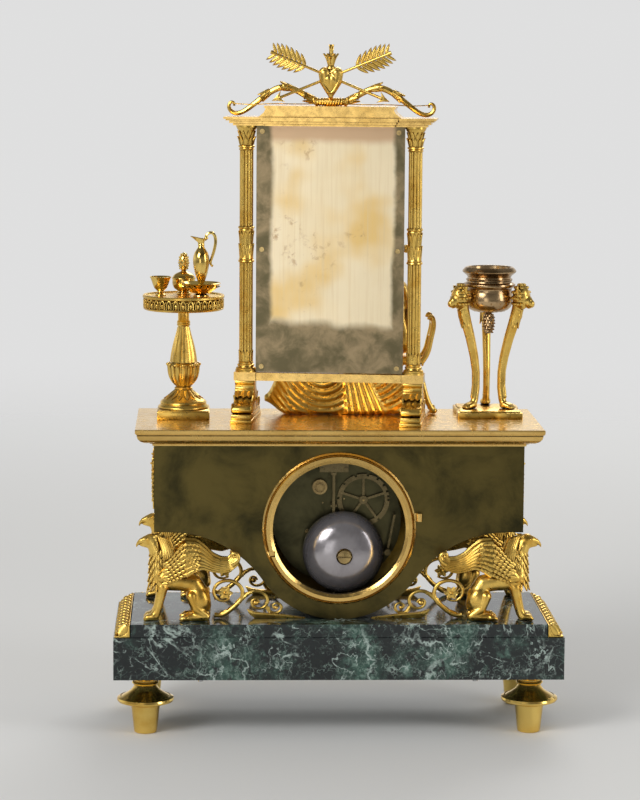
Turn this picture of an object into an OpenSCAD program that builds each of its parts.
// Mantel clock in gilt brass and green marble, with a dressing mirror on top.
// The photographed back of the clock faces -Y, the dial side faces +Y, and +Z is up.
// The origin is on the table, under the middle of the marble slab.

/* [Marble base] */
// Width of the lower marble slab
slab_w = 338; // [330:1:360]
// Depth of the lower marble slab
slab_d = 138; // [134:1:160]
// Height of the lower marble slab
slab_h = 32; // [24:1:44]
// Height of the upper marble step, which is also the height of the leaf moulding
step_h = 10; // [8:0.5:14]
// Run of the leaf moulding from the slab edge up to the step
moulding_run = 13; // [12:0.5:16]

/* [Feet] */
// Height of each foot, from the table to the marble
foot_h = 45; // [42:1:55]
// Radius of the disc of a foot
foot_disc_r = 21.8; // [18:0.2:23]
// Radius of the peg of a foot where it meets the table
foot_tip_r = 5.6; // [4:0.2:7]
// Height of the peg below the disc of a foot
foot_peg_h = 15.5; // [12:0.5:17]
// Distance from a slab edge to the axis of a foot
foot_inset = 23.5; // [23:0.5:30]

/* [Case] */
// Width of the case
case_w = 278; // [270:1:284]
// Depth of the case
case_d = 94; // [90:1:98]
// Height of the flat lower edge of the case above the marble step
case_clear = 66; // [62:0.5:70]
// Height of the case from its flat lower edge to the cornice
case_h = 65.5; // [62:0.5:70]
// Thickness of the case walls
wall = 1.5; // [1:0.1:2]
// Radius of the hollow sweep between the lobe and the lower edge
cove_r = 85; // [80:1:95]
// Height of the cornice
cornice_h = 14; // [10:0.5:16]
// Overhang of the cornice
cornice_out = 14; // [10:0.5:16]

/* [Back bezel and dial] */
// Inner radius of the back bezel
bezel_in_r = 50; // [49.5:0.5:52]
// Outer radius of the back bezel
bezel_out_r = 57.8; // [56:0.2:60]
// How far the back bezel stands out of the case
bezel_out = 5; // [3:0.5:7]
// Radius of the dial
dial_r = 46; // [44:0.5:47]
// Outer radius of the dial bezel
front_bezel_r = 56; // [54:0.5:60]

/* [Movement] */
// Radius of the two movement plates
plate_r = 49; // [48.8:0.1:49.3]
// Thickness of a movement plate
plate_t = 2; // [1.5:0.1:2.5]
// Gap between the two movement plates
plate_gap = 41; // [38:0.5:43]
// Distance from the front movement plate to the face of the dial
dial_gap = 11; // [10:0.5:12]
// Radius of the bell
bell_r = 31; // [28:0.5:32]
// Radial clearance of an arbor in its hole
arbor_fit = 0.05; // [0.02:0.01:0.08]
// Length of the pendulum from its suspension to the middle of its bob
pendulum_len = 92; // [88:1:94]

/* [Dressing mirror] */
// Turn of the dressing mirror on the case
mirror_turn = -7.6; // [-12:0.2:-2]
// Distance between the axes of the two columns
column_span = 128; // [124:1:134]
// Radius of a column
column_r = 5; // [4:0.1:5.2]
// Height of a scroll foot of the mirror
mirror_foot_h = 30; // [26:0.5:34]
// Length of a scroll foot of the mirror, from back to front
mirror_foot_d = 60; // [50:1:62]
// Height of the rail between the scroll feet
rail_h = 6.5; // [5:0.5:8]
// Height of a column with its base and capital
column_h = 187; // [160:1:200]

/* [Table and tripod] */
// Height of the table, from the case to the floor of its tray
table_h = 93; // [88:1:100]
// Radius of the tray
tray_r = 31; // [28:0.5:34]
// Height of the tray's gallery
tray_h = 11.5; // [9:0.5:13]
// Height of the tripod, from the case to the rim of its bowl
tripod_h = 115; // [105:1:125]
// Width of the tripod's plinth
tripod_w = 50; // [46:1:56]

/* [Figure] */
// Height of the seated figure above the top of the case
figure_h = 134; // [128:1:138]

/* [Hidden] */
// Small length by which a cut passes the face it opens
cut = 1;
gilt = "goldenrod";
dark_brass = "darkkhaki";
plain_brass = "khaki";
marble = "darkslategray";
steel = "lightsteelblue";

// Heights and depths that the pieces share
slab_top = foot_h + slab_h;
deck = slab_top + step_h;
case_low = deck + case_clear;
case_top = case_low + case_h;
axis_drop = 3;
// The round lobe rests on the marble, on a narrow flat
lobe_r = case_clear + axis_drop + 0.6;
top = case_top + cornice_h;
step_w = slab_w - 2 * moulding_run;
step_back = -slab_d / 2 + 1.5;
step_front = slab_d / 2 - moulding_run;
case_y = (step_back + step_front) / 2 + 7.5;
case_back_y = case_y - case_d / 2;
case_front_y = case_y + case_d / 2;
griffin_back_y = step_back + 19.5;
griffin_front_y = step_front - 12;
griffin_x = step_w / 2 - 36;
// The griffins and their tails are drawn for a case that stands this far above the marble
griffin_drawn_for = 66;
griffin_size = case_clear / griffin_drawn_for;
// A tail is drawn from its start at the griffin to its tip, and sized to end near the lobe
tail_start = 28.4;
tail_tip = 96;
tail_end_x = 24;
tail_size = (griffin_x - tail_end_x - tail_start * griffin_size) / (tail_tip - tail_start);
// How far the tails lie inside the faces of the case
tail_in = 2.3;
axis_z = case_low + axis_drop;

// Places of the arbors, as [x, height above the centre arbor]
front_plate_y = case_front_y - dial_gap - plate_t;
gap_y = front_plate_y - plate_gap;
plate_y = gap_y - plate_t;
centre_at = [0, 0];
count_at = [20, 16];
escape_at = [-2.8, 28.3];
great_r = 22;
great_teeth = 88;
great_pinion = 12;
second_teeth = 80;
centre_pinion = 10;
centre_teeth = 96;
third_pinion = 8;
third_teeth = 90;
escape_pinion = 8;
strike_teeth = 72;
strike_pinion = 8;
pin_teeth = 64;
fly_pinion = 8;
// Extra distance between two meshing arbors
mesh_gap = 0.1;
great_reach = great_r * (1 + great_pinion / great_teeth) + mesh_gap;
second_reach = 17.2;
third_reach = 14.5;
pin_reach = 12.7;
fly_reach = 9.3;
strike_at = [22.6, count_at[1] - sqrt(pow(great_reach, 2) - pow(22.6 - count_at[0], 2))];
going_at = [-strike_at[0], strike_at[1]];
second_at = corner(going_at, centre_at, great_reach, second_reach);
third_at = corner(escape_at, centre_at, third_reach, second_reach);
pin_at = count_at + pin_reach * [cos(16), sin(16)];
fly_at = pin_at + fly_reach * [cos(96), sin(96)];
hammer_at = [43.5, 5];
pallet_at = escape_at + [0, 13];
bell_at = [4.5, -23];
regulator_at = [-13.4, 26];
hang_at = [escape_at[0], 44.5];
motion_reach = 9.8;
motion_at = motion_reach * [cos(60), sin(60)];
arbor_r = 0.8;
pivot_r = 0.5;

// The mirror stands turned on the case
mirror_x = -6.5;
mirror_y = -2.8;
rail_z = top + mirror_foot_h;
column_z = rail_z + rail_h;
mirror_top = column_z + column_h;

// Third corner of a triangle with corners a and b, at distances ra and rb, to the left of a to b
function corner(a, b, ra, rb) =
    let(d = norm(b - a), u = (b - a) / d,
        along = (ra * ra - rb * rb + d * d) / (2 * d),
        off = sqrt(ra * ra - along * along))
    a + along * u + off * [-u[1], u[0]];
// Direction in degrees from one arbor to another
function bearing(a, b) = atan2(b[1] - a[1], b[0] - a[0]);
// Points along an arc
function arc(x, y, r, from, to, n) =
    [for (i = [0:n]) [x + r * cos(from + (to - from) * i / n), y + r * sin(from + (to - from) * i / n)]];
// Outline points mirrored about the upright axis
function both_sides(p) = concat(p, [for (i = [len(p) - 1:-1:0]) [-p[i][0], p[i][1]]]);

// A solid that stands on its outline in the XZ plane, from y0 to y1
module along_y(y0, y1) {
    translate([0, y1, 0])
        rotate([90, 0, 0])
            linear_extrude(height = y1 - y0)
                children();
}
// A round bar along Y about a point [x, height above the centre arbor]
module bar(at, y0, y1, r) {
    translate([at[0], y1, axis_z + at[1]])
        rotate([90, 0, 0])
            cylinder(r = r, h = y1 - y0, $fn = 48);
}
// Moves a shape to an arbor, with its axis along -Y
module at_arbor(at, y) {
    translate([at[0], y, axis_z + at[1]])
        rotate([90, 0, 0])
            children();
}
// A turned shape from its outline
module turned(points) {
    rotate_extrude($fn = 64)
        polygon(points);
}
// Smooth skin round a chain of balls given as [[x, y, z], radius]
module chain(balls, sides = 10) {
    for (i = [0:len(balls) - 2])
        hull() {
            translate(balls[i][0]) sphere(r = balls[i][1], $fn = sides);
            translate(balls[i + 1][0]) sphere(r = balls[i + 1][1], $fn = sides);
        }
}
// Skin round all the balls at once
module lump(balls, sides = 10) {
    hull()
        for (b = balls)
            translate(b[0]) sphere(r = b[1], $fn = sides);
}
// Outline of a toothed wheel with one tooth at the angle phase
module toothed(teeth, r, phase, hole) {
    pitch = 2 * PI * r / teeth;
    tall = 0.28 * pitch;
    step = 360 / teeth;
    difference() {
        polygon([for (i = [0:teeth - 1])
            for (p = [[-0.25, -1.25], [-0.13, 1], [0.13, 1], [0.25, -1.25]])
                let(a = phase + (i + p[0]) * step, q = r + p[1] * tall)
                [q * cos(a), q * sin(a)]]);
        circle(r = hole, $fn = 32);
    }
}
// A crossed-out wheel of a given thickness
module wheel(teeth, r, phase, thick, hub_r, spokes = 5) {
    rim = r * 0.82;
    linear_extrude(height = thick) {
        difference() {
            toothed(teeth, r, phase, arbor_r);
            difference() {
                circle(r = rim, $fn = 48);
                circle(r = hub_r, $fn = 32);
                for (i = [0:spokes - 1])
                    rotate(i * 360 / spokes)
                        translate([0, -r * 0.06])
                            square([r, r * 0.12]);
            }
        }
    }
}

// Marble
module marble_slab() {
    color(marble)
        difference() {
            translate([-slab_w / 2, -slab_d / 2, foot_h]) cube([slab_w, slab_d, slab_h]);
            rod_holes();
        }
}
module marble_step() {
    color(marble)
        difference() {
            translate([-step_w / 2, step_back, slab_top])
                cube([step_w, step_front - step_back, step_h]);
            rod_holes();
        }
}
rod_r = 2;
nut_r = 5.2;
nut_h = 3.5;
// How far a rod stands out of its nut
rod_end = 2;
griffin_rod_x = griffin_x - 16;
case_rod_y = 25;
// Places of the rods: one under each griffin, two under the lobe of the case
griffin_rods = [for (x = [-1, 1]) for (y = [griffin_back_y, griffin_front_y]) [x * griffin_rod_x, y]];
case_rods = [[0, case_y - case_rod_y], [0, case_y + case_rod_y]];
rod_places = concat(griffin_rods, case_rods);
module rod_holes() {
    for (p = rod_places)
        translate([p[0], p[1], foot_h - 2 * nut_h])
            cylinder(r = rod_r, h = slab_h + step_h + 4 * nut_h, $fn = 32);
}
// Ogee of the leaf moulding, from the edge of the slab up to the step
module moulding_profile() {
    polygon([[0, 0], [moulding_run, 0], [moulding_run, 1.6], [moulding_run - 1.2, 0.3 * step_h],
        [moulding_run - 3.5, 0.55 * step_h], [moulding_run - 8, 0.78 * step_h],
        [moulding_run - 10.5, 0.9 * step_h], [moulding_run - 11.5, step_h], [0, step_h]]);
}
module leaf_moulding() {
    run = step_front - step_back;
    color(gilt)
        union() {
            for (side = [-1, 1])
                translate([0, 0, slab_top])
                    mirror([side < 0 ? 1 : 0, 0, 0])
                        translate([step_w / 2, step_front + moulding_run, 0])
                            rotate([90, 0, 0])
                                linear_extrude(height = run + moulding_run)
                                    intersection() {
                                        moulding_profile();
                                        square([moulding_run - 0.3, step_h]);
                                    }
            translate([-step_w / 2, step_front, slab_top])
                rotate([90, 0, 90])
                    linear_extrude(height = step_w)
                        intersection() {
                            moulding_profile();
                            square([moulding_run - 0.3, step_h]);
                        }
        }
}
// One foot, standing on the table
module foot() {
    disc_z = foot_peg_h;
    turned([[0, 0], [foot_tip_r, 0], [foot_tip_r + 2.6, disc_z], [foot_disc_r - 2, disc_z],
        [foot_disc_r, disc_z + 2.2], [foot_disc_r, disc_z + 4.4], [foot_disc_r - 1.6, disc_z + 6.2],
        [foot_disc_r - 8, disc_z + 8.5], [8, disc_z + 12.5], [6.2, disc_z + 15],
        [6.2, disc_z + 17], [8.2, disc_z + 18], [8.2, disc_z + 21.5], [6.8, disc_z + 22.5],
        [6.8, foot_h - 3], [9.5, foot_h - 1.5], [9.5, foot_h], [0, foot_h]]);
}
module feet() {
    color(gilt)
        for (x = [-1, 1])
            for (y = [-1, 1])
                translate([x * (slab_w / 2 - foot_inset), y * (slab_d / 2 - foot_inset), 0])
                    foot();
}
// Rods that draw the case down on the marble, each with its nut underneath
module tie_rods() {
    color(steel)
        for (p = rod_places)
            translate([p[0], p[1], 0]) {
                translate([0, 0, foot_h - nut_h - rod_end])
                    cylinder(r = rod_r - arbor_fit, h = slab_h + step_h + nut_h + rod_end, $fn = 32);
                translate([0, 0, foot_h - nut_h])
                    cylinder(r = nut_r, h = nut_h, $fn = 6);
            }
    color(steel)
        for (p = case_rods)
            translate([p[0], p[1], deck]) {
                cylinder(r = rod_r - arbor_fit, h = wall + nut_h + rod_end, $fn = 32);
                translate([0, 0, wall])
                    cylinder(r = nut_r, h = nut_h, $fn = 6);
            }
}

// Griffins and their tails
// One griffin that looks to -X, seated at the origin
module griffin() {
    // Trunk, neck and head
    chain([[[20, 0, 14], 7.6], [[5, 0, 27], 8], [[-12, 0, 33], 9.2], [[-17, 0, 46], 6.4],
        [[-19, 0, 56], 5.6]]);
    lump([[[-19, 0, 57], 5.6], [[-25, 0, 59], 4], [[-30, 0, 57.6], 1.6]]);
    lump([[[-29, 0, 58], 2], [[-32.2, 0, 55.6], 0.7]], 8);
    lump([for (y = [-1, 1]) for (b = [[[-17, 3 * y, 61], 1.6], [[-13, 3.6 * y, 63.4], 0.8]]) b], 8);
    // Boss that the rod from under the marble screws into
    translate([16, 0, 0]) cylinder(r = 3.4, h = 10, $fn = 32);
    for (side = [-1, 1])
        mirror([0, side < 0 ? 1 : 0, 0]) {
            // Fore leg and paw
            chain([[[-14, 5, 30], 5], [[-17, 5.4, 16], 3.2], [[-19.5, 5.4, 5], 2.9]], 8);
            lump([[[-20, 5.4, 2.6], 3.2], [[-24, 5.4, 2], 2.6]], 8);
            // Hind leg and foot
            lump([[[18, 5.4, 13], 7.2], [[9, 6.4, 16], 4.6]], 8);
            chain([[[9, 6.4, 14], 4], [[17, 6.4, 4], 3]], 8);
            lump([[[18, 6.4, 2.4], 2.8], [[3, 6.4, 2], 2.8]], 8);
            // Wing, bent outward a little at its curled tip
            translate([0, 6.6, 0])
                rotate([90, 0, 0])
                    linear_extrude(height = 3, center = true)
                        polygon(concat([[-14, 30]], arc(8, 52, 8.5, 165, 40, 6),
                            [[22, 47.5], [30, 41.5], [37, 39.4]], arc(42, 43, 3.6, -150, 60, 6),
                            [[48.6, 41], [45.5, 36], [38, 33.6], [28, 34.6], [18, 36], [6, 30], [-6, 24]]));
        }
}
// Flat S-shaped tail of one griffin with its three scrolls
module tail() {
    ring_centres = [[36.4, 20.8, 10, 7.8], [60.2, 13.6, 8.4, 6.2], [73, 8.2, 5, 3]];
    rotate([90, 0, 0])
        linear_extrude(height = 3.6, center = true) {
            for (c = ring_centres)
                translate([c[0], c[1]])
                    difference() {
                        circle(r = c[2], $fn = 40);
                        circle(r = c[3], $fn = 40);
                    }
            // Rosette in the large scroll and curls in the small ones
            translate([36.2, 18.6]) circle(r = 5, $fn = 24);
            translate([33, 11]) square([4, 4]);
            translate([59, 10.6]) circle(r = 3.4, $fn = 24);
            translate([72.4, 7.2]) circle(r = 2.2, $fn = 24);
            // Stem from the rump, and the flat leaf foot on the marble
            polygon([[tail_start, 0], [33, 0], [42, 5], [52, 14.5], [54, 19], [50.5, 20.4], [44, 12],
                [33, 3.6], [tail_start, 3.4]]);
            polygon([[56, 0], [tail_tip, 0], [tail_tip, 1], [84, 2.2], [76, 4.4], [66, 6.4], [58, 7.4],
                [53, 10], [51, 8]]);
            polygon([[64, 19], [69, 12], [72, 12.6], [67, 20.6]]);
            polygon([[44.6, 21], [52, 17.4], [53, 20.6], [45, 26]]);
        }
}
// Puts a griffin or a tail at one of the four corners
module at_corner(x, y) {
    translate([0, y, deck])
        mirror([x > 0 ? 1 : 0, 0, 0])
            translate([-griffin_x, 0, 0])
                children();
}
// Clears the marble and the case from a cast piece
module above_deck() {
    intersection() {
        children();
        translate([-slab_w, -slab_d, deck]) cube([2 * slab_w, 2 * slab_d, case_clear]);
    }
}
module griffin_pair(y) {
    color(gilt)
        above_deck()
            for (x = [-1, 1])
                at_corner(x, y)
                    scale(griffin_size)
                        griffin();
}
module back_griffins() {
    griffin_pair(griffin_back_y);
}
module front_griffins() {
    griffin_pair(griffin_front_y);
}
module tail_scrolls() {
    color(gilt)
        for (x = [-1, 1])
            for (y = [case_back_y + tail_in, case_front_y - tail_in])
                at_corner(x, y)
                    translate([tail_start * griffin_size, 0, 0])
                        scale([tail_size, 1, tail_size])
                            translate([-tail_start, 0, 0])
                                tail();
}

// Case
// Outline of the case seen from the back, moved in by the given distance
module case_outline(inside) {
    r = lobe_r - inside;
    cr = cove_r + inside;
    low = -axis_drop + inside;
    half = case_w / 2 - inside;
    cove_x = sqrt(pow(r + cr, 2) - pow(cr - low, 2));
    meet = atan2(low - cr, cove_x);
    intersection() {
        polygon(both_sides(concat(
            arc(0, 0, r, -90, meet, 12),
            arc(cove_x, low - cr, cr, 180 + meet, 90, 12),
            [[half, low], [half, case_h - axis_drop - inside]])));
        translate([-half, deck - axis_z + inside]) square([2 * half, case_h + lobe_r]);
    }
}
shell_y0 = case_back_y + wall;
shell_y1 = case_front_y - wall;
// Bent sheet that makes the ends, the lobe and the top of the case
module case_shell() {
    color(dark_brass)
        difference() {
            translate([0, 0, axis_z])
                along_y(shell_y0, shell_y1)
                    difference() {
                        case_outline(0);
                        case_outline(wall);
                    }
            rod_holes();
        }
}
module case_panel(y0, hole_r) {
    difference() {
        translate([0, 0, axis_z])
            along_y(y0, y0 + wall)
                case_outline(0);
        bar(centre_at, y0 - cut, y0 + wall + cut, hole_r);
    }
}
module case_back() {
    color(dark_brass)
        case_panel(case_back_y, bezel_in_r);
}
module case_front() {
    color(gilt) {
        case_panel(shell_y1, dial_r + 0.5);
        // Ears and pin of the dial bezel's hinge
        for (z = [-1, 1])
            translate([hinge_x - 2, case_front_y, axis_z + z * (knuckle_h / 2 + 1.7) - 1.4])
                cube([4, 5, 2.8]);
        translate([hinge_x, case_front_y + 3, axis_z - knuckle_h / 2 - 1])
            cylinder(r = hinge_pin_r, h = knuckle_h + 2, $fn = 32);
    }
}
// Cornice moulding with the flat top plate
module cornice() {
    // Each step as [overhang, lower edge, upper edge], the heights as parts of the whole
    steps = [[0, 0, 0.12], [0.09, 0.08, 0.31], [0.29, 0.26, 0.46], [0.54, 0.4, 0.59], [0.79, 0.57, 0.76],
        [1, 0.74, 1]];
    color(gilt)
        for (s = steps) {
            out = s[0] * cornice_out;
            translate([-case_w / 2 - out, case_back_y - out, case_top + s[1] * cornice_h])
                cube([case_w + 2 * out, case_d + 2 * out, (s[2] - s[1]) * cornice_h]);
        }
}
// Cast mounts: garlands with a small head on the ends and on the dial side
module case_mounts() {
    color(gilt) {
        for (side = [-1, 1])
            translate([side * case_w / 2, case_y, axis_z + case_h / 2 - axis_drop])
                mirror([side < 0 ? 1 : 0, 0, 0])
                    rotate([90, 0, 90])
                        garland(66, 50, 3.4);
        for (side = [-1, 1])
            translate([side * (case_w / 2 - 40), case_front_y, axis_z + case_h / 2 - axis_drop])
                rotate([90, 0, 180])
                    garland(60, 44, 3.4);
    }
}
// Swag of leaves hung from two rosettes, lying on the XY plane
module garland(w, h, t) {
    linear_extrude(height = t) {
        for (side = [-1, 1]) {
            translate([side * (w / 2 - 6), h / 2 - 8]) circle(r = 6, $fn = 24);
            translate([side * (w / 2 - 8.5), 0]) square([5, h * 0.7], center = true);
            translate([side * (w / 2 - 6), -h / 2 + 8]) circle(r = 4.5, $fn = 24);
        }
        translate([0, 2]) circle(r = 10, $fn = 32);
        difference() {
            translate([0, h / 2 - 6]) circle(r = w / 2 - 6, $fn = 48);
            translate([0, h / 2 - 4]) circle(r = w / 2 - 12, $fn = 48);
            translate([-w / 2, h / 2 - 8]) square([w, w]);
        }
    }
}
// Rounded ring round the back opening, with its hinge knuckle and latch notch
module back_bezel() {
    face = case_back_y;
    mid = (bezel_in_r + bezel_out_r) / 2;
    color(gilt)
        difference() {
            union() {
                at_arbor(centre_at, face)
                    turned([[bezel_in_r, 0], [bezel_out_r, 0], [bezel_out_r, 1.6], [bezel_out_r - 1.2, 2.6],
                        [bezel_out_r - 1.8, 2.2], [mid + 1, bezel_out], [mid - 1.6, bezel_out],
                        [bezel_in_r, bezel_out - 1.6]]);
                // Knuckle
                translate([knuckle_x, face - 3.4, axis_z + knuckle_z - 3])
                    cylinder(r = 2.2, h = 6, $fn = 32);
                translate([knuckle_x - 5, face - 2.2, axis_z + knuckle_z - 3])
                    cube([5, 2.2, 6]);
            }
            translate([knuckle_x, face - 3.4, axis_z + knuckle_z - 4])
                cylinder(r = 0.8, h = 8, $fn = 24);
            // Latch notch
            translate([-bezel_in_r - 3, face - bezel_out - cut, axis_z - 21])
                cube([5, 3.4, 4.4]);
        }
}
knuckle_x = bezel_out_r + 2.4;
knuckle_z = 9;

// Movement
// Layers along Y, measured from the front face of the back movement plate
great_layer = [22, 2];
second_layer = [16, 1.5];
centre_layer = [11, 1.5];
third_layer = [6.5, 1];
escape_layer = [2.4, 1];
pin_layer = [8, 1.5];
drum_h = 13;
drum_r = 19;
play = 0.2;
winding_r = 1.6;
pillar_r = 2.4;
pillar_places = [[-30, 34], [21, 41], [-46, 4], [44, 13], [-20, -41], [20, -41]];
// Pitch radius of a wheel that meshes at the given distance with another
function pitch_r(reach, teeth, other) = (reach - mesh_gap) * teeth / (teeth + other);
// Phase of a wheel with a tooth towards its pinion, and of the pinion with a gap towards the wheel
function gap_phase(from, to, teeth) = bearing(to, from) + 180 / teeth;
// A toothed ring in a layer of the gap between the plates
module in_layer(at, start, thick) {
    translate([0, gap_y + start + thick, 0])
        at_arbor(at, 0)
            children();
}
// A pinion with its arbor, from plate to plate, with pivots in both plates
module arbor(at, y0 = gap_y + play, y1 = front_plate_y - play) {
    bar(at, y0, y1, arbor_r);
    bar(at, y0 - play - plate_t, y0 + 1, pivot_r);
    bar(at, y1 - 1, y1 + play + plate_t, pivot_r);
}
module pinion(at, from, teeth, r, start, thick) {
    in_layer(at, start, thick)
        linear_extrude(height = thick)
            toothed(teeth, r, gap_phase(from, at, teeth), arbor_r);
}
module wheel_at(at, to, teeth, r, layer, hub_r) {
    in_layer(at, layer[0], layer[1])
        wheel(teeth, r, bearing(at, to), layer[1], hub_r);
}
module plate(y0, holes) {
    difference() {
        bar(centre_at, y0, y0 + plate_t, plate_r);
        for (h = holes)
            bar(h[0], y0 - cut, y0 + plate_t + cut, h[1] + arbor_fit);
    }
}
small_pivots = [for (p = [second_at, third_at, escape_at, pin_at, fly_at]) [p, pivot_r]];
module back_movement_plate() {
    color(dark_brass)
        plate(plate_y, concat(small_pivots, [[centre_at, pivot_r], [count_at, arbor_r], [hammer_at, arbor_r],
            [pallet_at, 3], [regulator_at, arbor_r], [going_at, winding_r], [strike_at, winding_r]]));
}
module front_movement_plate() {
    color(dark_brass) {
        plate(front_plate_y, concat(small_pivots, [[centre_at, arbor_r], [count_at, pivot_r],
            [hammer_at, pivot_r], [pallet_at, pivot_r], [going_at, winding_r], [strike_at, winding_r]]));
        // Stud of the motion wheel
        bar(motion_at, work_y, work_y + 6.6, arbor_r);
    }
}
// Pillars between the plates, and the three posts that carry the movement on the case front
module pillars() {
    color(plain_brass) {
        for (p = pillar_places)
            bar(p, gap_y, front_plate_y, pillar_r);
        for (a = [20, 140, 270])
            bar((plate_r - 1.4) * [cos(a), sin(a)], front_plate_y + plate_t, shell_y1, 1.4);
    }
}
// Spring barrel with its great wheel and winding arbor
module barrel(at, to) {
    drum_y = gap_y + great_layer[0] + great_layer[1];
    wheel_y = gap_y + great_layer[0];
    at_arbor(at, wheel_y + great_layer[1])
        linear_extrude(height = great_layer[1])
            toothed(great_teeth, great_r, bearing(at, to), winding_r);
    bar(at, drum_y, drum_y + drum_h, drum_r);
    bar(at, plate_y, gap_y + play, winding_r);
    bar(at, gap_y, drum_y + drum_h + 2, winding_r);
    bar(at, drum_y + drum_h, case_front_y - 2.4, winding_r);
}
module going_barrel() {
    color(plain_brass) barrel(going_at, second_at);
}
module strike_barrel() {
    color(plain_brass) barrel(strike_at, count_at);
}
module going_second_wheel() {
    color(plain_brass) {
        arbor(second_at);
        pinion(second_at, going_at, great_pinion, great_r * great_pinion / great_teeth,
            great_layer[0] - 1, great_layer[1] + 2);
        wheel_at(second_at, centre_at, second_teeth, pitch_r(second_reach, second_teeth, centre_pinion),
            second_layer, 3);
    }
}
module centre_wheel() {
    color(plain_brass) {
        bar(centre_at, gap_y + play, front_plate_y - play, arbor_r);
        bar(centre_at, plate_y, gap_y + 1, pivot_r);
        bar(centre_at, front_plate_y - 1, minute_y + 1.6, arbor_r);
        pinion(centre_at, second_at, centre_pinion, pitch_r(second_reach, centre_pinion, second_teeth),
            second_layer[0] - 1, second_layer[1] + 2);
        wheel_at(centre_at, third_at, centre_teeth, pitch_r(second_reach, centre_teeth, third_pinion),
            centre_layer, 3);
    }
}
module third_wheel() {
    color(plain_brass) {
        arbor(third_at);
        pinion(third_at, centre_at, third_pinion, pitch_r(second_reach, third_pinion, centre_teeth),
            centre_layer[0] - 1, centre_layer[1] + 2);
        wheel_at(third_at, escape_at, third_teeth, pitch_r(third_reach, third_teeth, escape_pinion),
            third_layer, 2.6);
    }
}
escape_teeth = 42;
escape_r = 9;
module escape_wheel() {
    color(plain_brass) {
        arbor(escape_at);
        pinion(escape_at, third_at, escape_pinion, pitch_r(third_reach, escape_pinion, third_teeth),
            third_layer[0] - 1, third_layer[1] + 2);
        in_layer(escape_at, escape_layer[0], escape_layer[1])
            linear_extrude(height = escape_layer[1])
                difference() {
                    polygon([for (i = [0:escape_teeth - 1])
                        for (p = [[-0.5, -1.2], [0.1, 0], [0.2, 0], [0.3, -1.2]])
                            let(a = (i + p[0]) * 360 / escape_teeth, q = escape_r + p[1])
                            [q * cos(a), q * sin(a)]]);
                    difference() {
                        circle(r = escape_r - 2.2, $fn = 48);
                        circle(r = 2.2, $fn = 24);
                        for (i = [0:3])
                            rotate(45 * i) square([2 * escape_r, 1], center = true);
                    }
                    circle(r = arbor_r, $fn = 24);
                }
    }
}
// Pallets on their arbor, with the crutch that hangs behind the back plate
crutch_y = plate_y - 4.2;
crutch_len = 30;
fork_gap = 1.3;
module anchor() {
    color(steel) {
        bar(pallet_at, crutch_y, front_plate_y - play, arbor_r);
        bar(pallet_at, front_plate_y - 1, front_plate_y + plate_t, pivot_r);
        bar(pallet_at, cock_y - 1, crutch_y + 1, pivot_r);
        in_layer(pallet_at, escape_layer[0] - 0.3, 1.6)
            linear_extrude(height = 1.6)
                difference() {
                    polygon(both_sides([[0, -1.6], [4, -2.8], [6.6, -6], [7.6, -5.6], [5.2, -1.2],
                        [0, 1.6]]));
                    circle(r = arbor_r - 0.3, $fn = 24);
                }
        at_arbor(pallet_at, crutch_y + 1) {
            translate([-1, -crutch_len, 0]) cube([2, crutch_len, 1]);
            // Fork that holds the pendulum rod
            for (side = [-1, 1])
                translate([side * (fork_gap + 0.5) - 0.5, -crutch_len, 0]) cube([1, 1.6, 4.4]);
            translate([-fork_gap - 1, -crutch_len, 0]) cube([2 * fork_gap + 2, 2, 1]);
        }
    }
}
// Cock on the back plate: it holds the pallet pivot and the silk of the pendulum
cock_y = plate_y - 9;
rod_y = plate_y - 6.2;
hang_r = 1.2;
module back_cock() {
    color(plain_brass) {
        difference() {
            union() {
                translate([hang_at[0] - 11, cock_y, axis_z + pallet_at[1] - 3])
                    cube([22, 1.8, 8.6]);
                for (side = [-1, 1])
                    translate([hang_at[0] + side * 9.2 - 1.8, cock_y, axis_z + pallet_at[1] - 3])
                        cube([3.6, plate_y - cock_y, 4]);
            }
            bar(pallet_at, cock_y - cut, cock_y + 1.8 + cut, pivot_r + arbor_fit);
        }
        // Screw heads and the round bar that the silk hangs over
        for (side = [-1, 1])
            bar([hang_at[0] + side * 9.2, pallet_at[1] - 1], cock_y - 1, cock_y, 1.6);
        bar(hang_at, cock_y + 1, cock_y + 5.6, hang_r);
        // Silk that runs down towards the disc that winds it
        translate([hang_at[0] - hang_r + 0.1, rod_y + 2.2, axis_z + hang_at[1]])
            rotate([0, -167, 0])
                cylinder(r = 0.2, h = 14, $fn = 16);
    }
}
// Disc that winds the silk up or down
module silk_regulator() {
    color(plain_brass) {
        bar(regulator_at, plate_y - 2, gap_y + 2, arbor_r);
        bar(regulator_at, gap_y + play, gap_y + 1.4, 1.6);
        difference() {
            bar(regulator_at, plate_y - 4.4, plate_y - 1.2, 5.7);
            bar(regulator_at, plate_y - 5, plate_y - 3.6, 4);
        }
        bar(regulator_at, plate_y - 4.6, plate_y - 3, 2.4);
    }
}
// Pendulum on two silk threads, with a flat rod and a round bob
bob_r = 7;
silk_len = 7;
silk_r = 0.25;
module pendulum() {
    color(plain_brass)
        translate([hang_at[0], rod_y, axis_z + hang_at[1] - 0.1]) {
            for (side = [-1, 1])
                translate([side * (hang_r + 0.3), 0, -silk_len])
                    cylinder(r = silk_r, h = silk_len, $fn = 16);
            translate([-2, -0.5, -silk_len - 1.6]) cube([4, 1, 1.8]);
            translate([-1, -0.5, -pendulum_len]) cube([2, 1, pendulum_len - silk_len - 1]);
            translate([0, 2.6, -pendulum_len])
                rotate([90, 0, 0])
                    turned([[0, 0], [bob_r - 2, 0], [bob_r, 1.4], [bob_r, 2.2], [bob_r - 2, 3.6], [0, 3.6]]);
        }
}
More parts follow.
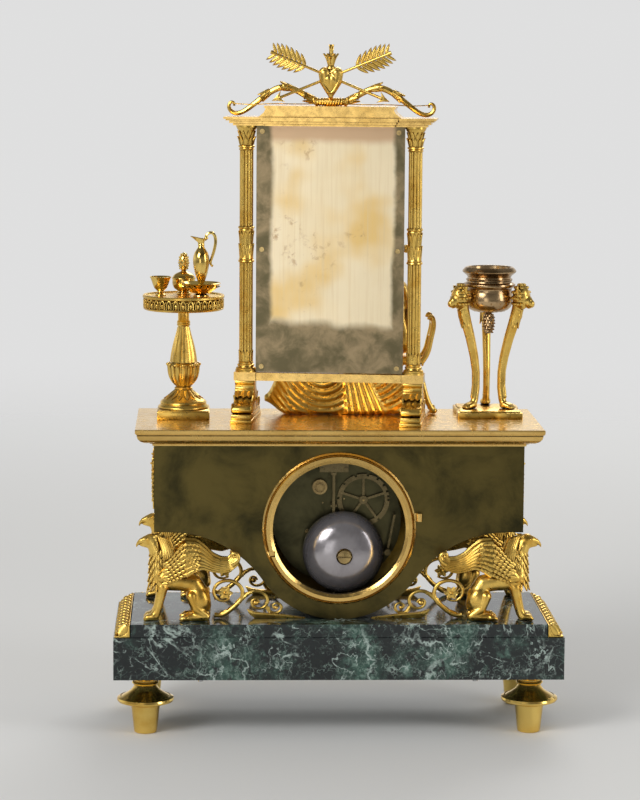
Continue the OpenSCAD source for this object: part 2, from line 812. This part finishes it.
// Strike train
module strike_second_wheel() {
    color(plain_brass) {
        bar(count_at, gap_y + play, front_plate_y - play, arbor_r);
        bar(count_at, plate_y - 5, gap_y + 1, arbor_r);
        bar(count_at, front_plate_y - 1, front_plate_y + plate_t, pivot_r);
        pinion(count_at, strike_at, great_pinion, great_r * great_pinion / great_teeth,
            great_layer[0] - 1, great_layer[1] + 2);
        wheel_at(count_at, pin_at, strike_teeth, pitch_r(pin_reach, strike_teeth, strike_pinion),
            second_layer, 3);
    }
}
// Count wheel: its notches stand 1, 2, 3 ... 12 strokes apart, with one more stroke for each half hour
count_r = 20;
strokes = 90;
function notch_at(hour) = (hour * (hour + 1) / 2 + hour) * 360 / strokes;
module count_wheel() {
    color(plain_brass)
        at_arbor(count_at, plate_y - 1.4)
            linear_extrude(height = 1.2)
                difference() {
                    circle(r = count_r, $fn = 96);
                    for (hour = [1:12])
                        rotate(notch_at(hour))
                            translate([count_r - 1.6, -0.9]) square([3, 1.8]);
                    difference() {
                        circle(r = count_r - 3.6, $fn = 64);
                        circle(r = 3.4, $fn = 32);
                        for (i = [0:4])
                            rotate(90 + 72 * i) translate([0, -0.9]) square([count_r, 1.8]);
                    }
                    circle(r = arbor_r, $fn = 32);
                }
    color(plain_brass)
        at_arbor(count_at, plate_y - 2.6)
            difference() {
                cylinder(r = 3.2, h = 1.4, $fn = 32);
                translate([0, 0, -cut]) cylinder(r = arbor_r, h = 4, $fn = 32);
            }
}
module pin_wheel() {
    color(plain_brass) {
        arbor(pin_at);
        pinion(pin_at, count_at, strike_pinion, pitch_r(pin_reach, strike_pinion, strike_teeth),
            second_layer[0] - 1, second_layer[1] + 2);
        wheel_at(pin_at, fly_at, pin_teeth, pitch_r(fly_reach, pin_teeth, fly_pinion), pin_layer, 2.4);
        for (i = [0:9])
            bar(pin_at + 7.3 * [cos(36 * i), sin(36 * i)], gap_y + pin_layer[0] - 2,
                gap_y + pin_layer[0] + 1, 0.4);
    }
}
module fly() {
    color(plain_brass) {
        arbor(fly_at);
        pinion(fly_at, pin_at, fly_pinion, pitch_r(fly_reach, fly_pinion, pin_teeth),
            pin_layer[0] - 1, pin_layer[1] + 2);
        translate([fly_at[0] - 0.3, gap_y + 20, axis_z + fly_at[1] - 4.6]) cube([0.6, 13, 9.2]);
    }
}
// Hammer: arbor, lifting tail between the plates, arm and head beside the bell
head_r = 2.4;
bell_rim_y = plate_y - 8;
head_gap = 0.4;
head_at = bell_at + [bell_r + head_r + head_gap, 0];
module hammer() {
    arm = norm(head_at - hammer_at);
    color(steel) {
        bar(hammer_at, bell_rim_y - 2, front_plate_y - play, arbor_r);
        bar(hammer_at, front_plate_y - 1, front_plate_y + plate_t, pivot_r);
        at_arbor(hammer_at, gap_y + pin_layer[0])
            rotate(bearing(hammer_at, pin_at)) translate([0, -0.7, 0]) cube([9.5, 1.4, 1.4]);
        at_arbor(hammer_at, bell_rim_y)
            rotate(bearing(hammer_at, head_at)) translate([0, -0.8, 0]) cube([arm, 1.6, 1.6]);
        bar(head_at, bell_rim_y - 5, bell_rim_y + 0.6, head_r);
    }
}
// Bell: a turned cup with its mouth towards the movement
bell_h = 22;
bell_t = 1.4;
module bell() {
    outer = [[bell_r, 0], [bell_r - 0.2, 5], [bell_r - 1.5, 10], [bell_r - 4.5, 14.6], [bell_r - 9.5, 18.3],
        [bell_r - 17, 21], [bell_r - 25, bell_h], [post_r, bell_h]];
    inner = [[post_r, bell_h - bell_t], [bell_r - 25, bell_h - bell_t], [bell_r - 17.4, 21 - bell_t - 0.1],
        [bell_r - 10.4, 16.9], [bell_r - 5.7, 13.7], [bell_r - 2.9, 9.5], [bell_r - bell_t - 0.2, 5],
        [bell_r - bell_t, 0]];
    color("dimgray")
        at_arbor(bell_at, bell_rim_y)
            turned(concat(outer, inner));
}
post_r = 2;
module bell_post() {
    top_y = bell_rim_y - bell_h;
    color(plain_brass)
        difference() {
            union() {
                bar(bell_at, top_y - 2, plate_y, post_r);
                bar(bell_at, top_y + bell_t, top_y + bell_t + 3, 3.4);
                bar(bell_at, plate_y - 1.6, plate_y, 4);
                at_arbor(bell_at, top_y)
                    turned([[0, 0], [6.2, 0], [6.2, 1], [5, 2.4], [0, 2.8]]);
            }
            translate([bell_at[0] - 7, top_y - 4, axis_z + bell_at[1] - 0.6]) cube([14, 2.2, 1.2]);
        }
}
// Dial side
dial_t = 1.5;
hour_y = case_front_y + 1.6;
minute_y = hour_y + 2;
glass_y = case_front_y + 7;
dial_feet = [for (a = [90, 200, 340]) 38 * [cos(a), sin(a)]];
winding_hole_r = 3;
module dial() {
    color("ivory")
        union() {
            difference() {
                bar(centre_at, case_front_y - dial_t, case_front_y, dial_r);
                bar(centre_at, case_front_y - 3, case_front_y + cut, 3);
                for (p = [going_at, strike_at])
                    bar(p, case_front_y - 3, case_front_y + cut, winding_hole_r);
            }
            for (p = dial_feet)
                bar(p, front_plate_y + plate_t, case_front_y - dial_t + 0.2, 1.2);
        }
}
bezel_gap = 0.2;
bezel_depth = 9;
hinge_x = -(front_bezel_r + 2.6);
hinge_pin_r = 0.8;
knuckle_h = 10;
module dial_bezel() {
    color(gilt)
        difference() {
            union() {
                at_arbor(centre_at, case_front_y + bezel_gap)
                    mirror([0, 0, 1])
                        turned([[dial_r + 1, 0], [front_bezel_r, 0], [front_bezel_r, 2],
                            [front_bezel_r - 1.5, 3.4], [front_bezel_r - 2, 3],
                            [front_bezel_r - 4, bezel_depth - 1.5], [front_bezel_r - 6.5, bezel_depth],
                            [dial_r - 0.5, bezel_depth], [dial_r - 0.5, bezel_depth - 2],
                            [dial_r + 1, bezel_depth - 2]]);
                translate([hinge_x, case_front_y + 3, axis_z - knuckle_h / 2])
                    cylinder(r = 2, h = knuckle_h, $fn = 32);
                translate([hinge_x, case_front_y + 2, axis_z - knuckle_h / 2]) cube([4, 2, knuckle_h]);
            }
            translate([hinge_x, case_front_y + 3, axis_z - knuckle_h])
                cylinder(r = hinge_pin_r + arbor_fit, h = 2 * knuckle_h, $fn = 32);
        }
}
module dial_glass() {
    color("lightcyan", 0.4)
        bar(centre_at, glass_y - 1.5, case_front_y + bezel_gap + bezel_depth - 2, dial_r + 0.8);
}
// Motion work and hands
work_y = front_plate_y + plate_t;
cannon_r = 1.35;
pipe_r = 2.2;
cannon_teeth = 14;
motion_teeth = 42;
motion_pinion = 12;
hour_teeth = 48;
module ring_gear(at, y, thick, teeth, r, phase, hole) {
    at_arbor(at, y + thick)
        linear_extrude(height = thick)
            difference() {
                toothed(teeth, r, phase, 0.2);
                circle(r = hole, $fn = 48);
            }
}
module tube(at, y0, y1, r, hole) {
    difference() {
        bar(at, y0, y1, r);
        bar(at, y0 - cut, y1 + cut, hole);
    }
}
module motion_wheel() {
    hole = arbor_r + arbor_fit;
    color(plain_brass) {
        ring_gear(motion_at, work_y + 1.6, 1.2, motion_teeth,
            pitch_r(motion_reach, motion_teeth, cannon_teeth), bearing(motion_at, centre_at), hole);
        ring_gear(motion_at, work_y + 2.8, 3.2, motion_pinion,
            pitch_r(motion_reach, motion_pinion, hour_teeth), bearing(motion_at, centre_at), hole);
    }
}
// Open leaf hand on its collar, pointing up from an arbor
module hand(length, w) {
    linear_extrude(height = 0.8)
        difference() {
            union() {
                circle(r = w, $fn = 40);
                polygon([[-0.9, 0], [-0.6, length * 0.62], [-w * 0.75, length * 0.72], [0, length],
                    [w * 0.75, length * 0.72], [0.6, length * 0.62], [0.9, 0]]);
                translate([0, length * 0.6]) circle(r = w * 0.8, $fn = 32);
            }
            translate([0, length * 0.6]) circle(r = w * 0.4, $fn = 24);
        }
}
hour_angle = -60;
minute_angle = 60;
module hour_hand() {
    color("darkslateblue")
        union() {
            ring_gear(centre_at, work_y + 4.2, 1.2, hour_teeth,
                pitch_r(motion_reach, hour_teeth, motion_pinion),
                gap_phase(motion_at, centre_at, hour_teeth), cannon_r + 0.1);
            tube(centre_at, work_y + 4.2, hour_y + 0.8, pipe_r, cannon_r + 0.1);
            difference() {
                at_arbor(centre_at, hour_y + 0.8) rotate(hour_angle) hand(26, 3.6);
                bar(centre_at, hour_y - cut, hour_y + 2, cannon_r + 0.1);
            }
        }
}
module minute_hand() {
    hole = arbor_r + arbor_fit;
    color("darkslateblue")
        union() {
            ring_gear(centre_at, work_y + 1.4, 1.6, cannon_teeth,
                pitch_r(motion_reach, cannon_teeth, motion_teeth),
                gap_phase(motion_at, centre_at, cannon_teeth), hole);
            tube(centre_at, work_y + 0.4, minute_y + 0.8, cannon_r, hole);
            difference() {
                at_arbor(centre_at, minute_y + 0.8) rotate(minute_angle) hand(39, 2.8);
                bar(centre_at, minute_y - cut, minute_y + 2, hole);
            }
        }
}

// Dressing mirror
module on_mirror(z = 0) {
    translate([mirror_x, mirror_y, z])
        rotate([0, 0, mirror_turn])
            children();
}
block_w = 16.6;
// Radius of a column's base and capital, which the back plate fits between
column_end_r = 8;
back_plate_w = column_span - 2 * column_end_r;
module mirror_feet() {
    color(gilt)
        on_mirror(top)
            for (side = [-1, 1])
                translate([side * column_span / 2 - block_w / 2 + 0.6, 0, 0])
                    rotate([90, 0, 90])
                        linear_extrude(height = block_w - 1.2) {
                            translate([-mirror_foot_d / 2, 0]) square([mirror_foot_d, 6.5]);
                            polygon(both_sides([[24, 6], [27, 8], [22, 13], [14.5, 15.5], [10, 19],
                                [8, 23.5], [8, mirror_foot_h]]));
                            for (y = [-1, 1])
                                translate([y * (mirror_foot_d / 2 - 6.5), 10.5]) circle(r = 4.6, $fn = 32);
                        }
}
frame_w = 7;
frame_t = 3;
glass_gap_y = -1.2;
back_t = 1.2;
glass_t = 2;
module mirror_rail() {
    inner = back_plate_w - 2 * frame_w;
    color(gilt)
        on_mirror() {
            for (side = [-1, 1])
                translate([side * column_span / 2 - block_w / 2, -block_w / 2, rail_z])
                    cube([block_w, block_w, rail_h]);
            translate([-column_span / 2, -block_w / 2 + 1.5, rail_z])
                cube([column_span, block_w - 3, rail_h - 0.4]);
            // Frame that the glass lies against
            translate([0, glass_gap_y, column_z])
                difference() {
                    translate([-back_plate_w / 2, 0, 0]) cube([back_plate_w, frame_t, column_h]);
                    translate([-inner / 2, -cut, frame_w])
                        cube([inner, frame_t + 2 * cut, column_h - 2 * frame_w]);
                }
        }
}
// Reeded column with a leaf band in the middle and a leaf capital
module column() {
    reeds = 12;
    h = column_h;
    end = column_end_r;
    base = [[0, 0], [end, 0], [end, 1.6], [end - 0.6, 2.4], [6.4, 4.4], [6.2, 6], [5.4, 7], [0, 7]];
    capital = [[0, h - 17.5], [5.8, h - 17.5], [6.2, h - 16.4], [5.4, h - 15.4], [5.6, h - 8],
        [end - 0.6, h - 3.4], [end, h - 2.6], [end, h], [0, h]];
    low = h / 2 - 9.5;
    band = [[0, low], [5.8, low], [6.2, low + 1], [5.6, low + 2.2], [6, low + 8], [6.4, low + 12],
        [5.6, low + 24], [6.2, low + 25.2], [5.8, low + 26.4], [0, low + 26.4]];
    linear_extrude(height = h) {
        circle(r = column_r - 0.7, $fn = 48);
        for (i = [0:reeds - 1])
            rotate(i * 360 / reeds) translate([column_r - 1.2, 0]) circle(r = 1.2, $fn = 24);
    }
    for (outline = [base, band, capital])
        turned(outline);
}
module column_left() {
    color(gilt)
        on_mirror(column_z)
            translate([-column_span / 2, 0, 0]) column();
}
module column_right() {
    color(gilt)
        on_mirror(column_z)
            translate([column_span / 2, 0, 0]) column();
}
cornice_w = column_span + 32;
cornice_d = 30;
break_w = column_span - 25;
mirror_cornice_h = 6.5;
attic_h = 8.5;
attic_w = break_w / 2 - 2.1;
module mirror_cornice() {
    color(gilt)
        on_mirror(mirror_top) {
            for (s = [[6.5, 0, 2.2], [4, 1.8, 2.4], [1.6, 3.8, 1.4], [0, 5, 1.5]])
                translate([-cornice_w / 2 + s[0], -cornice_d / 2 + s[0], s[1]])
                    cube([cornice_w - 2 * s[0], cornice_d - 2 * s[0], s[2]]);
            for (s = [[5, 0, 2.2], [2.6, 1.8, 2.4], [0, 3.8, 2.7]])
                translate([-break_w / 2 + s[0] / 2, -cornice_d / 2 - 3 + s[0], s[1]])
                    cube([break_w - s[0], cornice_d + 6 - 2 * s[0], s[2]]);
            translate([0, cornice_d / 2 - 1, mirror_cornice_h])
                rotate([90, 0, 0])
                    linear_extrude(height = cornice_d - 2)
                        polygon(both_sides([[attic_w + 4.6, 0], [attic_w + 2.6, 1.6], [attic_w + 0.2, 3.6],
                            [attic_w - 1, 6], [attic_w - 1, 6.6], [attic_w, 7], [attic_w, attic_h]]));
        }
}
screw_edge = 4.4;
screw_x = back_plate_w / 2 - screw_edge;
screw_rows = [screw_edge, column_h / 2, column_h - screw_edge];
module screw_holes(r, depth) {
    for (x = [-screw_x, screw_x])
        for (z = screw_rows)
            translate([x, glass_gap_y - glass_t - back_t - cut, column_z + z])
                rotate([-90, 0, 0])
                    cylinder(r = r, h = depth, $fn = 24);
}
screw_r = 0.9;
module mirror_back() {
    color(plain_brass)
        on_mirror()
            difference() {
                translate([-back_plate_w / 2, glass_gap_y - glass_t - back_t, column_z + 0.2])
                    cube([back_plate_w, back_t, column_h - 0.4]);
                screw_holes(screw_r + arbor_fit, back_t + 2 * cut);
            }
}
module mirror_glass() {
    w = 2 * (screw_x - screw_r - 1);
    color("lightcyan")
        on_mirror()
            translate([-w / 2, glass_gap_y - glass_t, column_z + 0.4])
                cube([w, glass_t, column_h - 0.8]);
}
module mirror_screws() {
    head_y = glass_gap_y - glass_t - back_t;
    color(steel)
        on_mirror()
            for (x = [-screw_x, screw_x])
                for (z = screw_rows)
                    translate([x, head_y, column_z + z])
                        rotate([-90, 0, 0]) {
                            cylinder(r = screw_r, h = glass_t + back_t, $fn = 24);
                            translate([0, 0, -1]) cylinder(r = 1.9, h = 1, $fn = 24);
                        }
}

// Trophy on the mirror: bow, crossed arrows and a burning heart
trophy_z = mirror_top + mirror_cornice_h + attic_h;
arrow_tilt = 22.2;
arrow_len = 96;
arrow_cross = 21.7;
arrow_planes = [-5, -7.2];
module bow() {
    limb = [[[9, 0, 3], 2.9], [[20, 0, 8], 2.4], [[33, 0, 14], 2.5], [[44, 0, 11], 2.4], [[56, 0, 3], 2.2],
        [[66, 0, -5.6], 2.1], [[74, 0, -6.2], 2], [[77.5, 0, -2], 1.6], [[76.5, 0, 3], 1]];
    string = [[[12, -2.6, 1.6], 0.35], [[26, -3.4, 1], 0.35], [[45, -3.2, 1.6], 0.35], [[62, -2, 0], 0.35],
        [[75, -0.6, 1.4], 0.35]];
    color(gilt)
        on_mirror(trophy_z) {
            translate([-11, 0, 3])
                rotate([0, 90, 0])
                    cylinder(r = 3, h = 22, $fn = 12);
            for (side = [-1, 1])
                mirror([side < 0 ? 1 : 0, 0, 0]) {
                    chain(limb, 8);
                    chain(string, 6);
                    lump([[[11.5, 0, 3.2], 3.2], [[15, 0, 4.4], 2.8]], 8);
                }
        }
}
shaft_r = 1.05;
// Puts a shape on each of the two crossed arrows
module each_arrow() {
    for (side = [0, 1])
        mirror([side, 0, 0])
            translate([0, arrow_planes[side], arrow_cross])
                rotate([0, arrow_tilt, 0])
                    translate([-arrow_len / 2, 0, 0])
                        children();
}
module shaft(r) {
    rotate([0, 90, 0]) cylinder(r = r, h = arrow_len - 4, $fn = 16);
}
// One arrow along +X, with leafy feathers at its tail and a barbed head
module arrow() {
    shaft(shaft_r);
    rotate([90, 0, 0])
        linear_extrude(height = 1.6, center = true) {
            rotate(90)
                polygon(both_sides([[0, -1.5], [1.5, 3], [7, 4.6], [10, 0], [9, -6], [9.5, -13], [6, -19],
                    [1.6, -25], [0, -28]]));
            polygon([[arrow_len, 0], [arrow_len - 9, 4.4], [arrow_len - 6.5, 0], [arrow_len - 9, -4.4]]);
        }
}
module arrows() {
    color(gilt)
        on_mirror(trophy_z)
            each_arrow()
                arrow();
}
module heart() {
    color(gilt)
        on_mirror(trophy_z)
            difference() {
                union() {
                    for (side = [-1, 1])
                        lump([[[side * 4.6, -6, 24.6], 5], [[side * 4.2, -6, 18], 4.4],
                            [[0, -6, 8], 1.6]], 12);
                    // Flames
                    lump([[[0, -6, 30], 3.6], [[0, -6, 36], 2.4], [[0.6, -6, 46.4], 0.4]], 8);
                    for (side = [-1, 1])
                        lump([[[side * 3, -6, 29.6], 2.6], [[side * 6.2, -6, 37], 0.5]], 8);
                    // Peg down to the grip of the bow
                    translate([0, -6, 6.2]) lump([[[0, 0, 0], 1.6], [[0, 3, -1], 1.2]], 8);
                }
                each_arrow()
                    shaft(shaft_r + arbor_fit);
            }
}

// Table with its things
table_x = 21.5 - case_w / 2;
table_y = 15.5;
table_plinth = 40;
// Depth of the tray below its floor
floor_t = tray_h - 1.1;
module at_table(x = 0, y = 0, z = 0) {
    translate([table_x + x, table_y + y, top + z])
        children();
}
module table_stand() {
    neck = table_h - floor_t;
    color(gilt)
        at_table() {
            translate([-table_plinth / 2, -table_plinth / 2, 0]) cube([table_plinth, table_plinth, 7]);
            turned([[0, 7], [19.2, 7], [19.2, 8.6], [17.8, 10.4], [17.6, 12], [15.4, 13.6], [9.6, 17.4],
                [6.4, 21], [6.2, 22.4], [5.6, 23.4], [8, 26.6], [10.6, 31.6], [11.4, 36.4], [11.2, 39.4],
                [13.6, 40.6], [13, 41.8], [9.8, 42], [9.6, 46], [7.4, neck - 27], [5, neck - 18],
                [4.3, neck - 12.6], [5, neck - 11.6], [5, neck - 9.2], [4.2, neck - 8.2], [4.2, neck],
                [0, neck]]);
        }
}
module table_tray() {
    under = table_h - floor_t;
    gallery = under + tray_h;
    color(gilt)
        at_table()
            turned([[0, under], [tray_r - 0.8, under], [tray_r, under + 1.2], [tray_r - 0.6, under + 2],
                [tray_r - 0.6, gallery - 1.4], [tray_r + 0.4, gallery - 0.6], [tray_r, gallery],
                [tray_r - 1.4, gallery], [tray_r - 1.8, table_h], [0, table_h]]);
}
module cup() {
    color(gilt)
        at_table(-17.6, 2, table_h)
            turned([[0, 0], [4.2, 0], [4.2, 0.8], [2.2, 2], [2.4, 3.2], [4.8, 5.6], [7.4, 12.6], [8.4, 14.4],
                [7.6, 14.6], [6.6, 12.8], [4, 6.4], [0, 5]]);
}
module covered_pot() {
    color(gilt)
        at_table(0, 15.5, table_h)
            turned([[0, 0], [5.4, 0], [5.4, 1], [4.2, 2], [7.4, 4.4], [8.8, 8], [8.7, 11.6], [9.2, 12.2],
                [8.6, 13], [6.4, 15.6], [2.2, 17.4], [1.8, 18.4], [3.2, 20], [4.1, 24], [3.6, 28],
                [1.6, 31.4], [0, 32]]);
}
module basin_and_ewer() {
    color(gilt)
        at_table(13.4, -5.5, table_h) {
            turned([[0, 0], [6.6, 0], [6.6, 1], [4.4, 2], [8, 3.6], [13.2, 7], [15, 9.6], [14.2, 10],
                [12.4, 7.8], [8, 5.2], [0, 4.4]]);
            turned([[0, 4.2], [3.8, 4.2], [3.8, 5.2], [1.8, 7.4], [2.4, 11.6], [4.8, 18], [6.2, 25.6],
                [6, 31], [4.4, 35], [2.4, 37.4], [2.2, 41], [3.2, 43.6], [2.4, 44.4], [0, 43]]);
            // Spout and handle
            lump([[[-1, 0, 42.6], 2], [[-8, 0, 45.6], 0.7]], 8);
            chain([[[2.4, 0, 42], 0.8], [[4, 0, 47.6], 0.9], [[8, 0, 49], 0.9], [[11, 0, 44], 0.9],
                [[9.8, 0, 34], 0.8], [[5.6, 0, 24], 0.8]], 6);
        }
}

// Tripod stand with its bowl
tripod_x = case_w / 2 - 21.2;
tripod_y = 29;
tripod_plinth = 5.5;
// Height of the underside of the bowl, above the case
bowl_z = tripod_h - 35;
module at_tripod() {
    translate([tripod_x, tripod_y, top])
        children();
}
module tripod_leg(a) {
    rotate(a) {
        chain([[[26, 0, bowl_z + 14], 4.6], [[24, 0, bowl_z + 4], 4], [[17, 0, bowl_z - 18], 2.9],
            [[11.5, 0, 38], 2.5], [[10.6, 0, 22], 2.3], [[12.6, 0, 10], 2.2]], 10);
        lump([[[13.4, 0, tripod_plinth + 3], 3], [[20.4, 0, tripod_plinth + 1.8], 2.6]], 8);
        // Animal head at the top
        lump([[[27, 0, bowl_z + 15], 6], [[29.4, 0, bowl_z + 10], 4.4], [[26, 0, bowl_z + 5], 3.4]], 10);
    }
}
module tripod_stand() {
    color(gilt)
        at_tripod() {
            difference() {
                translate([-tripod_w / 2, -tripod_w / 2, 0])
                    cube([tripod_w, tripod_w, tripod_plinth]);
                for (a = [0:90:270])
                    rotate(a)
                        translate([tripod_w * 0.98, 0, -cut])
                            cylinder(r = tripod_w * 0.52, h = tripod_plinth + 2 * cut, $fn = 64);
            }
            difference() {
                intersection() {
                    for (a = [-150, -30, 90])
                        tripod_leg(a);
                    translate([-tripod_w, -tripod_w, tripod_plinth - 0.2])
                        cube([2 * tripod_w, 2 * tripod_w, tripod_h]);
                }
                translate([0, 0, bowl_z]) cylinder(r = 20.4, h = 40, $fn = 48);
            }
        }
}
module tripod_bowl() {
    h = tripod_h;
    color(plain_brass)
        at_tripod()
            turned([[0, bowl_z], [8, bowl_z], [14.6, bowl_z + 2], [17.6, bowl_z + 5.4], [18.6, bowl_z + 10],
                [17.8, bowl_z + 15], [17.4, h - 16], [20.2, h - 14], [20.2, h - 12.8], [17, h - 11],
                [16.6, h - 7.6], [20.8, h - 4], [20.8, h - 3], [18.4, h - 0.4], [17.6, h], [16.4, h - 0.6],
                [15.6, h - 8], [16.2, h - 14], [15.2, bowl_z + 10], [11, bowl_z + 6], [0, bowl_z + 5]]);
}

// Seated figure in front of the mirror, on a draped seat
figure_x = 34;
figure_y = 43;
figure_drawn_h = 134;
module at_figure() {
    translate([figure_x, figure_y, top])
        scale(figure_h / figure_drawn_h)
            children();
}
seat_h = 46;
module seat() {
    color(gilt)
        at_figure()
            rotate([90, 0, 0])
                linear_extrude(height = 26, center = true) {
                    polygon([[-6, 0], [2, 0], [6, 20], [10, seat_h - 10], [30, seat_h - 10], [33, 20],
                        [40, 0], [44, 0], [40, 24], [38, seat_h - 6], [44, seat_h + 14],
                        [43, seat_h + 30], [39, seat_h + 32], [38, seat_h + 14], [32, seat_h],
                        [-4, seat_h], [-4, seat_h - 8], [2, seat_h - 10]]);
                }
}
module figure() {
    color(gilt)
        difference() {
            at_figure() {
                // Skirt over the knees, down to the hem and out to the left
                lump([[[16, 0, seat_h + 11], 10.4], [[-16, 0, seat_h + 8], 9]], 12);
                lump([[[-16, 0, seat_h + 8], 9], [[-24, 0, 8], 8], [[-8, 0, 8], 8]], 12);
                lump([[[-14, 0, seat_h - 4], 9], [[-70, 2, 7], 7], [[-24, 0, 8], 8]], 12);
                // Trunk, shoulders and neck
                chain([[[18, 0, seat_h + 12], 10.4], [[15, 0, seat_h + 30], 8.4],
                    [[13, 0, seat_h + 50], 10]], 12);
                lump([[[13, -9, seat_h + 56], 5], [[13, 9, seat_h + 56], 5]], 10);
                chain([[[13, 0, seat_h + 58], 4.4], [[11.6, 0, seat_h + 68], 3.8]], 10);
                // Head and knot of hair
                lump([[[10.6, 0, seat_h + 78], 7.4], [[9, 0, seat_h + 73], 5.4]], 14);
                lump([[[16, 0, seat_h + 82], 5.4], [[12, 0, seat_h + 82], 6.6]], 10);
                // Arms: one raised to the hair, one held out to the table
                chain([[[13, 13, seat_h + 55], 4.2], [[2, 15, seat_h + 46], 3.6],
                    [[-6, 10, seat_h + 62], 2.8], [[-2, 6, seat_h + 70], 2.4]], 8);
                chain([[[13, -13, seat_h + 55], 4.2], [[10, -15, seat_h + 34], 3.6],
                    [[-14, -9, seat_h + 24], 2.8], [[-20, -6, seat_h + 24], 2.4]], 8);
            }
            translate([-slab_w, -slab_d, top - 40]) cube([2 * slab_w, 2 * slab_d, 40]);
            seat();
        }
}

// What is drawn
marble_slab();
marble_step();
leaf_moulding();
feet();
tie_rods();
back_griffins();
front_griffins();
tail_scrolls();
case_shell();
case_back();
case_front();
cornice();
case_mounts();
back_bezel();
back_movement_plate();
front_movement_plate();
pillars();
dial();
dial_bezel();
dial_glass();
hour_hand();
minute_hand();
motion_wheel();
going_barrel();
going_second_wheel();
centre_wheel();
third_wheel();
escape_wheel();
anchor();
back_cock();
silk_regulator();
pendulum();
strike_barrel();
strike_second_wheel();
count_wheel();
pin_wheel();
fly();
hammer();
bell();
bell_post();
mirror_feet();
mirror_rail();
column_left();
column_right();
mirror_cornice();
mirror_glass();
mirror_back();
mirror_screws();
bow();
arrows();
heart();
table_stand();
table_tray();
cup();
covered_pot();
basin_and_ewer();
tripod_stand();
tripod_bowl();
seat();
figure();
